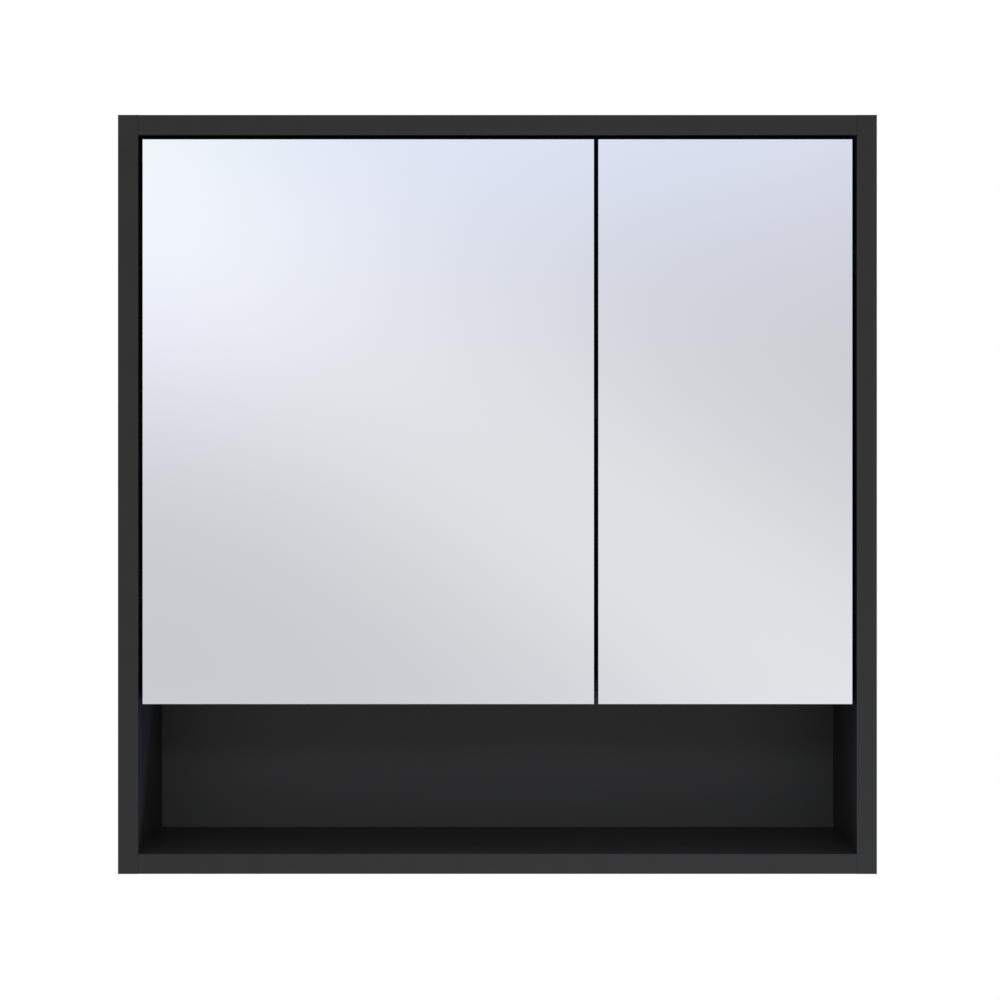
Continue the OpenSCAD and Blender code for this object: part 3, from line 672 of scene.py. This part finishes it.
# A CAD node kept in shape, with its edges broken by a fine bevel
def softened(node, look, width, segments=2):
    mesh = nodes[node].data.copy()
    mesh.name = node + "_soft"
    work = bmesh.new()
    work.from_mesh(mesh)
    bmesh.ops.remove_doubles(work, verts=work.verts, dist=softening["samePoint"])
    flat = softening["flatWithin"]
    bmesh.ops.dissolve_limit(work, angle_limit=flat, verts=work.verts, edges=work.edges)
    for face in work.faces:
        face.smooth = True
        face.material_index = 0
    work.to_mesh(mesh)
    work.free()
    if mesh.has_custom_normals:
        mesh.attributes.remove(mesh.attributes["custom_normal"])
    mesh.materials.clear()
    mesh.materials.append(look)
    mesh.set_sharp_from_angle(angle=softening["smoothBelow"])
    piece = bpy.data.objects.new(node + "_soft", mesh)
    bpy.context.scene.collection.objects.link(piece)
    bevel = piece.modifiers.new("brokenEdges", "BEVEL")
    bevel.width = width
    bevel.segments = segments
    bevel.limit_method = "ANGLE"
    bevel.angle_limit = softening["bevelAbove"]
    bevel.harden_normals = False
    bevel.use_clamp_overlap = True
    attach(piece, bodyOf[node])
    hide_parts(node)


# A CAD node that stays as it is, with a better finish
def paint(node, look):
    materials = nodes[node].data.materials
    materials.clear()
    materials.append(look)


# each board's finish, and the axes on which it is faced with paper: 0 across, 1 into the depth and
# 2 upright
boards = {
    "left_side_panel": ("left_side_panel_board", (0, 2)),
    "right_side_panel": ("right_side_panel_board", (0, 2)),
    "top_panel": ("top_panel_board", (2,)),
    "bottom_panel": ("bottom_panel_board", (2,)),
    "divider_panel": ("divider_panel_board", (2,)),
    "left_door_board": ("left_door_board_faced", (1,)),
    "right_door_board": ("right_door_board_faced", (1,)),
    "shelf": ("shelf_board", (2,)),
}
for node, (name, axes) in boards.items():
    paint(node, boardFinish(name, spansOf(node, axes)))
paint("back_panel", finishes["back"])
print("boards painted")


edging = {"radius": 0.45 * mm, "steps": 4, "doorWidth": 1 * mm}


def frontStrip(node, upright):
    low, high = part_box(node)
    thick = high.y - low.y
    if upright:
        corners = [(low.x, low.y, low.z), (low.x, low.y, high.z)]
        inward, width = [(1, 0, 0)] * 2, high.x - low.x
    else:
        corners = [(low.x, low.y, low.z), (high.x, low.y, low.z)]
        inward, width = [(0, 0, 1)] * 2, high.z - low.z
    shape = sweptStrip(corners, inward, (0, 1, 0), (width, thick), edging["radius"], edging["steps"])
    look = finishes["edgingUpright" if upright else "edgingLevel"]
    addPiece(node + "_strip", [shape], [look], "front_edging", node)


frontStrip("left_side_edging", True)
frontStrip("right_side_edging", True)
for node in ("top_edging", "bottom_edging", "divider_edging", "shelf_edging"):
    frontStrip(node, False)
for side in ("left", "right"):
    low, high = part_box(side + "_door_edging")
    strip = ringStrip(low, high, edging["doorWidth"], edging["radius"], edging["steps"])
    looks = [finishes["doorEdging"]]
    addPiece(side + "_door_strip", [strip], looks, "door_edging", side + "_door_edging")
print("edge strips made")


mirrorGlass = {"arris": 0.25 * mm, "steps": 2}
tapeStrip = {"rounding": 0.25 * mm, "steps": 3, "count": 3, "width": 20 * mm}

for side in ("left", "right"):
    low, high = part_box(side + "_mirror")
    points, faces, smooth, sides = roundedBlock(low, high, mirrorGlass["arris"], mirrorGlass["steps"])
    # flat front takes the silver, flat back the paint, and the rounding and the edges the ground glass
    numbers = np.where(smooth, 1, np.where(sides == 2, 0, np.where(sides == 3, 2, 1)))
    looks = [finishes["silver"], finishes["glassEdge"], finishes["backing"]]
    glass = (points, faces, smooth, numbers)
    addPiece(side + "_mirror_glass", [glass], looks, "mirror_glass", side + "_mirror")

    low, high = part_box(side + "_mirror_tape")
    pitch = (high.x - low.x - tapeStrip["width"]) / (tapeStrip["count"] - 1)
    strips = []
    for k in range(tapeStrip["count"]):
        x = low.x + k * pitch
        ends = (x, low.y, low.z), (x + tapeStrip["width"], high.y, high.z)
        points, faces, smooth, sides = roundedBlock(*ends, tapeStrip["rounding"], tapeStrip["steps"])
        strips.append((points, faces, smooth, np.zeros_like(sides)))
    addPiece(side + "_tape_strips", strips, [finishes["foam"]], "bond_tape", side + "_mirror_tape")
print("mirrors made")


# Each separate shell of a CAD node, as its box's low and high corners. Points that coincide are one;
# then every point takes the lowest number among its neighbours, until no number changes
def shellBoxes(node):
    mesh = nodes[node].data
    points = np.empty(3 * len(mesh.vertices), np.float32)
    mesh.vertices.foreach_get("co", points)
    edges = np.empty(2 * len(mesh.edges), np.int32)
    mesh.edges.foreach_get("vertices", edges)
    points = points.reshape(-1, 3).astype(float)
    steps = np.round(points / softening["samePoint"]).astype(np.int64)
    _, number, same = np.unique(steps, axis=0, return_index=True, return_inverse=True)
    points = points[number]
    one, two = same.reshape(-1)[edges.reshape(-1, 2)].T
    while True:
        lowest = np.minimum(number[one], number[two])
        spread = number.copy()
        np.minimum.at(spread, one, lowest)
        np.minimum.at(spread, two, lowest)
        if (spread == number).all():
            break
        number = spread
    shells = [points[number == lowest] for lowest in np.unique(number)]
    return [(shell.min(0), shell.max(0)) for shell in shells]


recess = {"depth": 0.62, "arm": 0.30, "reach": 0.651, "armSlope": 0.5, "endSlope": 0.35}
head = {"rows": 15, "dome": 2.4, "rimHeight": 0.12, "footRadius": 0.96, "segments": 48}


# A screw head as a polar grid h(r, t): a top that falls by crown * r ^ dome towards the rim, less a
# cross pressed into it by smoothed ramps on |x| and |y|, closed by its rim and base
def screwHead(base, axis, radius, height, crown):
    rows = np.linspace(0.0, 1.0, head["rows"])
    top = [(radius * r, height - crown * r ** head["dome"] * height) for r in rows]
    rim = [(radius, head["rimHeight"] * height), (radius * head["footRadius"], 0.0), (0.0, 0.0)]
    arm, reach = recess["arm"] * radius, recess["reach"] * radius

    def pressed(x, y):
        near, far = np.minimum(np.abs(x), np.abs(y)), np.maximum(np.abs(x), np.abs(y))
        inside = np.clip((arm - near) / (recess["armSlope"] * arm), 0, 1)
        inside = inside * np.clip((reach - far) / (recess["endSlope"] * reach), 0, 1)
        inside = inside * inside * (3 - 2 * inside)
        onTop = np.arange(len(x))[:, None] < len(rows)
        return -recess["depth"] * height * inside * onTop

    return turned(top + rim, base, axis, head["segments"], pressed)


# for each set of screws: its piece's name, its axis, the head's end (1 high, -1 low, 0 towards the
# cabinet's middle), the head's height and crown, and the thread's radius
screws = {
    "plate_screws": ("hinge_plate_screws", 0, 0, 1.6 * mm, 0.45, 2.4 * mm),
    "arm_screws": ("hinge_arm_screws", 0, 0, 2.2 * mm, 0.30, 2.45 * mm),
    "bracket_screws": ("hanging_bracket_screws", 0, 0, 1.8 * mm, 0.45, 1.72 * mm),
    "left_cup_screws": ("left_hinge_cup_screws", 1, 1, 1.0 * mm, 0.40, 1.72 * mm),
    "right_cup_screws": ("right_hinge_cup_screws", 1, 1, 1.0 * mm, 0.40, 1.72 * mm),
    "latch_screws": ("push_latch_screws", 2, -1, 1.8 * mm, 0.45, 1.72 * mm),
}
for node, (name, along, headEnd, headHeight, crown, threadRadius) in screws.items():
    across = (along + 1) % 3
    shapes = []
    for low, high in shellBoxes(node):
        base = (low + high) / 2
        end = headEnd or (1 if base[0] < 0 else -1)
        axis = np.zeros(3)
        axis[along] = end
        base[along] = (high if end > 0 else low)[along] - end * headHeight
        length = high[along] - low[along] - headHeight
        shapes.append(screwHead(base, axis, (high[across] - low[across]) / 2, headHeight, crown))
        shapes.append(threadedShank(length, threadRadius, base, -axis))
    addPiece(name, shapes, [finishes["screw"]], "screw_steel", node)
print("screws made")


dowel = {"flutes": 14, "fluteDepth": 0.05, "chamfer": 1.0 * mm, "endRadius": 0.82, "around": 84}


def flutedDowel(low, high):
    # r(t) = radius * (1 - depth * (1 + cos(flutes * t)) / 2), drawn in at both ends over the chamfer
    centre, radius, length = (low + high) / 2, (high[2] - low[2]) / 2, high[0] - low[0]
    around, end = dowel["around"], dowel["endRadius"]
    t = np.linspace(0.0, 2 * math.pi, around, endpoint=False)
    flute = radius * (1 - dowel["fluteDepth"] * (1 + np.cos(dowel["flutes"] * t)) / 2)
    reach = np.array([0.0, dowel["chamfer"], length / 2, length - dowel["chamfer"], length])
    shrink = np.array([end, 1.0, 1.0, 1.0, end])
    r = np.concatenate([np.zeros((1, around)), shrink[:, None] * flute, np.zeros((1, around))])
    x = np.concatenate([[0.0], reach, [length]])[:, None] + low[0] + np.zeros_like(r)
    return closedRound(np.stack([x, centre[1] + r * np.cos(t), centre[2] + r * np.sin(t)], -1))


shapes = [flutedDowel(low, high) for low, high in shellBoxes("dowels")]
addPiece("fluted_dowels", shapes, [finishes["wood"]], "dowel_wood", "dowels")

cap = {
    "edge": 0.3 * mm,
    "dish": 0.12 * mm,
    "segments": 56,
    # the shoulder and the dished face as (edges in from the rim, edges or dishes down from the top)
    "shoulder": ((0.0, 1.0), (0.1, 0.4), (0.5, 0.05), (1.0, 0.0), (3.0, 0.0)),
    "dishFrom": 4.0,
    "eye": (0.2, 0.15),
}


def camCap(low, high):
    # A flat foot, an upright wall, a rounded shoulder, then a face that sinks inside a narrow rim
    centre, radius, height = (low + high) / 2, (high[0] - low[0]) / 2, high[2] - low[2]
    up = 1.0 if centre[2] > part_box("bottom_panel")[1].z else -1.0
    foot = [centre[0], centre[1], low[2] if up > 0 else high[2]]
    edge, dish = cap["edge"], cap["dish"]
    profile = [(0, 0), (radius, 0)]
    profile += [(radius - inwards * edge, height - down * edge) for inwards, down in cap["shoulder"]]
    wide, narrow = cap["eye"]
    profile += [(radius - cap["dishFrom"] * edge, height - dish), (wide * radius, height - dish)]
    profile += [(narrow * radius, height - 2 * dish), (0, height - 2 * dish)]
    return turned(profile, foot, (0, 0, up), cap["segments"])


shapes = [camCap(low, high) for low, high in shellBoxes("cam_caps")]
addPiece("cam_cover_caps", shapes, [finishes["cap"]], "cap_plastic", "cam_caps")

# width of the broken edges of the cams, bolts and shelf supports
joineryEdges = {"disc": 0.15 * mm, "bolt": 0.12 * mm, "support": 0.2 * mm}
softened("cam_discs", finishes["camZinc"], joineryEdges["disc"])
softened("cam_bolts", finishes["screw"], joineryEdges["bolt"])
softened("shelf_supports", finishes["peg"], joineryEdges["support"])

pin = {"rounding": 0.25 * mm, "shoulder": 0.3, "segments": 24}


def rivetedPin(low, high):
    # A round rod, its ends turned over by the rounding in two steps
    centre, radius, length = (low + high) / 2, (high[0] - low[0]) / 2, high[2] - low[2]
    e = min(pin["rounding"], radius / 2)
    k = pin["shoulder"] * e
    near = [(0, 0), (radius - e, 0), (radius - k, k), (radius, e)]
    far = [(radius, length - e), (radius - k, length - k), (radius - e, length), (0, length)]
    return turned(near + far, (centre[0], centre[1], low[2]), (0, 0, 1), pin["segments"])


for node, name in {
    "arm_pins": "riveted_arm_pins",
    "left_cup_pins": "left_riveted_cup_pins",
    "right_cup_pins": "right_riveted_cup_pins",
}.items():
    shapes = [rivetedPin(low, high) for low, high in shellBoxes(node)]
    addPiece(name, shapes, [finishes["pin"]], "hinge_steel", node)

plunger = {
    "nose": 1.2 * mm,
    "noseSteps": 6,
    "grooveAt": (9 * mm, 12 * mm),
    "grooveDepth": 0.35 * mm,
    "grooveWidth": 1.1 * mm,
    "grooveSlope": 0.1 * mm,
    "pole": 4.6 * mm,
    "poleDepth": 0.3 * mm,
    "segments": 40,
}


def plungerRod(low, high):
    # A shallow well in the nose for the pole piece, the rounded nose, two grooves, and the plain shaft
    x, z = (low.x + high.x) / 2, (low.z + high.z) / 2
    radius, length = (high.x - low.x) / 2, high.y - low.y
    nose, well, slope = plunger["nose"], plunger["pole"] / 2, plunger["grooveSlope"]
    bend = np.linspace(0.0, math.pi / 2, plunger["noseSteps"])
    profile = [(0, plunger["poleDepth"]), (well - slope, plunger["poleDepth"]), (well, 0)]
    profile += [(radius - nose + nose * math.sin(b), nose * (1 - math.cos(b))) for b in bend]
    for at in plunger["grooveAt"]:
        waist, end = radius - plunger["grooveDepth"], at + plunger["grooveWidth"]
        profile += [(radius, at), (waist, at + slope), (waist, end - slope), (radius, end)]
    profile += [(radius, length), (0, length)]
    return turned(profile, (x, low.y, z), (0, 1, 0), plunger["segments"])


strike = {
    "edge": 0.25 * mm,
    "shoulder": 0.3,
    "dimple": (0.35, 0.28),
    "dimpleDepth": 0.2 * mm,
    "segments": 64,
}


def strikeDisc(low, high):
    # A flat disc with a rounded edge and a shallow dimple in its middle
    x, z = (low.x + high.x) / 2, (low.z + high.z) / 2
    radius, height = (high.x - low.x) / 2, high.y - low.y
    e, k, depth = strike["edge"], strike["shoulder"] * strike["edge"], strike["dimpleDepth"]
    wide, narrow = strike["dimple"]
    profile = [(0, 0), (radius, 0), (radius, height - e), (radius - k, height - k), (radius - e, height)]
    profile += [(wide * radius, height), (narrow * radius, height - depth), (0, height - depth)]
    return turned(profile, (x, low.y, z), (0, 1, 0), strike["segments"])


latchEdge = 0.35 * mm
for side in ("left", "right"):
    rod = plungerRod(*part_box(side + "_latch_plunger"))
    looks = [finishes["plunger"]]
    addPiece(side + "_plunger_rod", [rod], looks, "plunger_plastic", side + "_latch_plunger")
    disc = strikeDisc(*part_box(side + "_strike_plate"))
    looks = [finishes["strike"]]
    addPiece(side + "_strike_disc", [disc], looks, "strike_steel", side + "_strike_plate")
    softened(side + "_latch_housing", finishes["latch"], latchEdge, 3)
print("joinery and latches made")


# width of the broken edges of each stamped part
hingeEdges = {
    "_upper_hinge_plate": 0.3 * mm,
    "_upper_hinge_arm": 0.2 * mm,
    "_upper_hinge_cup": 0.12 * mm,
    "_lower_hinge_plate": 0.3 * mm,
    "_lower_hinge_arm": 0.2 * mm,
    "_lower_hinge_cup": 0.12 * mm,
    "_outer_links": 0.12 * mm,
    "_inner_links": 0.1 * mm,
}
bracketEdge = 0.3 * mm
for side in ("left", "right"):
    for part, width in hingeEdges.items():
        softened(side + part, finishes["hinge"], width)
    softened(side + "_hanging_bracket", finishes["bracket"], bracketEdge)
print("hinges and brackets made")


floor = {
    "height": -1.45,
    "near": -5.5,
    "far": 3.0,
    "half": 5.5,
    "squares": 4,
    "tone": (0.78, 0.78, 0.79, 1.0),
    "paler": (0.84, 0.84, 0.85, 1.0),
    "toneNoise": (1.4, 3.0, 0.5),
    "roughness": 0.6,
    "toneRoughness": 0.1,
    "grainNoise": (300.0, 3.0, 0.5),
    "grainDepth": 0.2 * mm,
    "bumpStrength": 0.2,
}


def addFloor():
    # A flat sheet as a grid of two parameters, x and y
    count = floor["squares"] + 1
    x, y = np.meshgrid(np.linspace(-floor["half"], floor["half"], count),
                       np.linspace(floor["near"], floor["far"], count), indexing="ij")
    points = np.stack([x, y, np.full_like(x, floor["height"])], -1).reshape(-1, 3)
    mesh = bpy.data.meshes.new("studio_floor")
    mesh.from_pydata(points.tolist(), [], gridFaces(count, count).tolist())
    f = Finish("pale_floor")
    tone = f.noise(*floor["toneNoise"])
    colour = f.mix(tone, floor["tone"], floor["paler"])
    normal = f.bump(f.noise(*floor["grainNoise"]), floor["grainDepth"], floor["bumpStrength"])
    mesh.materials.append(
        f.surface(colour, floor["roughness"] + floor["toneRoughness"] * tone, 0.0, normal)
    )
    sheet = bpy.data.objects.new("studio_floor", mesh)
    bpy.context.scene.collection.objects.link(sheet)
    tidyNormals(mesh)


# Soft studio surroundings: a bright ceiling above, and in front of the doors a few wide soft glows,
# each as (direction across, direction up), (spread across, spread up), colour; band is one slanting
# band of light, as (share across, share up, offset, spread, colour)
surround = {
    "base": (0.618, 0.616, 0.646),
    "ceiling": (1.30, 1.30, 1.31),
    "ceilingFrom": 0.28,
    "ceilingFull": 0.62,
    "glows": [
        ((-0.17, 0.15), (0.085, 0.085), (0.080, 0.110, 0.045)),
        ((0.01, 0.15), (0.16, 0.08), (0.130, 0.180, 0.290)),
        ((0.14, 0.16), (0.07, 0.07), (0.050, 0.050, 0.090)),
        ((-0.16, 0.055), (0.08, 0.065), (0.095, 0.100, 0.155)),
        ((0.55, -0.05), (0.25, 0.25), (0.200, 0.200, 0.210)),
        ((0.00, -0.19), (0.40, 0.045), (0.350, 0.420, 0.650)),
    ],
    "band": (0.58, 0.815, -0.003, 0.075, (0.170, 0.170, 0.168)),
}


def addWorld():
    world = bpy.data.worlds.new("studio")
    bpy.context.scene.world = world
    f = Finish(world=world)
    direction = f.node("ShaderNodeTexCoord", output=0)
    x, y, z = (f.node("ShaderNodeSeparateXYZ", None, {0: direction}, k) for k in range(3))
    channels = [surround["base"][k] for k in range(3)]
    for (across, up), (wide, high), colour in surround["glows"]:
        # exp(-(distance across / wide) ^ 2 - (distance up / high) ^ 2) in direction space
        sideways, upwards = (x - across) * (1.0 / wide), (z - up) * (1.0 / high)
        glow = f.math("EXPONENT", -(sideways * sideways + upwards * upwards))
        channels = [channel + glow * part for channel, part in zip(channels, colour)]
    sideways, upwards, offset, spread, colour = surround["band"]
    across = x * sideways + z * upwards - offset
    glow = f.math("EXPONENT", across * across * (-1.0 / spread ** 2))
    channels = [channel + glow * part for channel, part in zip(channels, colour)]
    span = {1: surround["ceilingFrom"], 2: surround["ceilingFull"]}
    rise = f.node("ShaderNodeMapRange", {"interpolation_type": "SMOOTHSTEP"}, {0: z, **span})
    tone = f.node("ShaderNodeCombineColor", None, dict(enumerate(channels)))
    tone = f.mix(rise, tone, surround["ceiling"] + (1.0,))
    soft = f.node("ShaderNodeBackground", None, {"Color": tone, "Strength": 1.0})
    plain = f.node("ShaderNodeBackground", None, {"Color": (1.0, 1.0, 1.0, 1.0), "Strength": 1.0})
    seen = f.node("ShaderNodeLightPath", output=0)
    both = f.node("ShaderNodeMixShader", None, {0: seen, 1: soft, 2: plain})
    f.node("ShaderNodeOutputWorld", None, {"Surface": both})


# each panel as place, the point that it faces, width and height, power, colour
softboxes = {
    "high_front_panel": ((0.0, -2.6, 1.5), (0.0, -0.05, -0.45), (2.6, 0.9), 8.0, (1.0, 1.0, 1.0)),
    "level_front_panel": ((0.03, -1.6, 0.20), (0.0, -0.05, -0.46), (0.5, 0.25), 8.0, (0.88, 0.94, 1.0)),
    "low_front_panel": ((0.42, -0.75, -1.32), (0.15, -0.15, -0.45), (0.8, 0.3), 24.0, (0.60, 0.70, 1.0)),
}


def addSoftbox(name, place, aim, size, power, colour):
    lamp = bpy.data.lights.new(name, "AREA")
    lamp.shape = "RECTANGLE"
    lamp.size, lamp.size_y = size
    lamp.energy = power
    lamp.color = colour
    box = bpy.data.objects.new(name, lamp)
    bpy.context.scene.collection.objects.link(box)
    box.visible_camera = False
    box.visible_glossy = False
    box.location = place
    way = np.array(place) - np.array(aim)
    pitch = math.atan2(math.hypot(way[0], way[1]), way[2])
    box.rotation_euler = (pitch, 0.0, math.atan2(way[1], way[0]) + math.pi / 2)


addFloor()
addWorld()
for name, panel in softboxes.items():
    addSoftbox(name, *panel)

camera = {
    "place": (0.0025, -2.049, -0.2025),
    "lens": 86.5,
    "sensor": 36.0,
    "shift": (-0.0006, -0.053),
    "clipStart": 0.01,
}
lens = bpy.data.cameras.new("front_camera")
lens.lens = camera["lens"]
lens.sensor_width = camera["sensor"]
lens.shift_x, lens.shift_y = camera["shift"]
lens.clip_start = camera["clipStart"]
viewer = bpy.data.objects.new("front_camera", lens)
bpy.context.scene.collection.objects.link(viewer)
viewer.location = camera["place"]
viewer.rotation_euler = (math.pi / 2, 0.0, 0.0)
bpy.context.scene.camera = viewer
bpy.context.scene.view_settings.view_transform = "Standard"
print("floor, light and camera set")
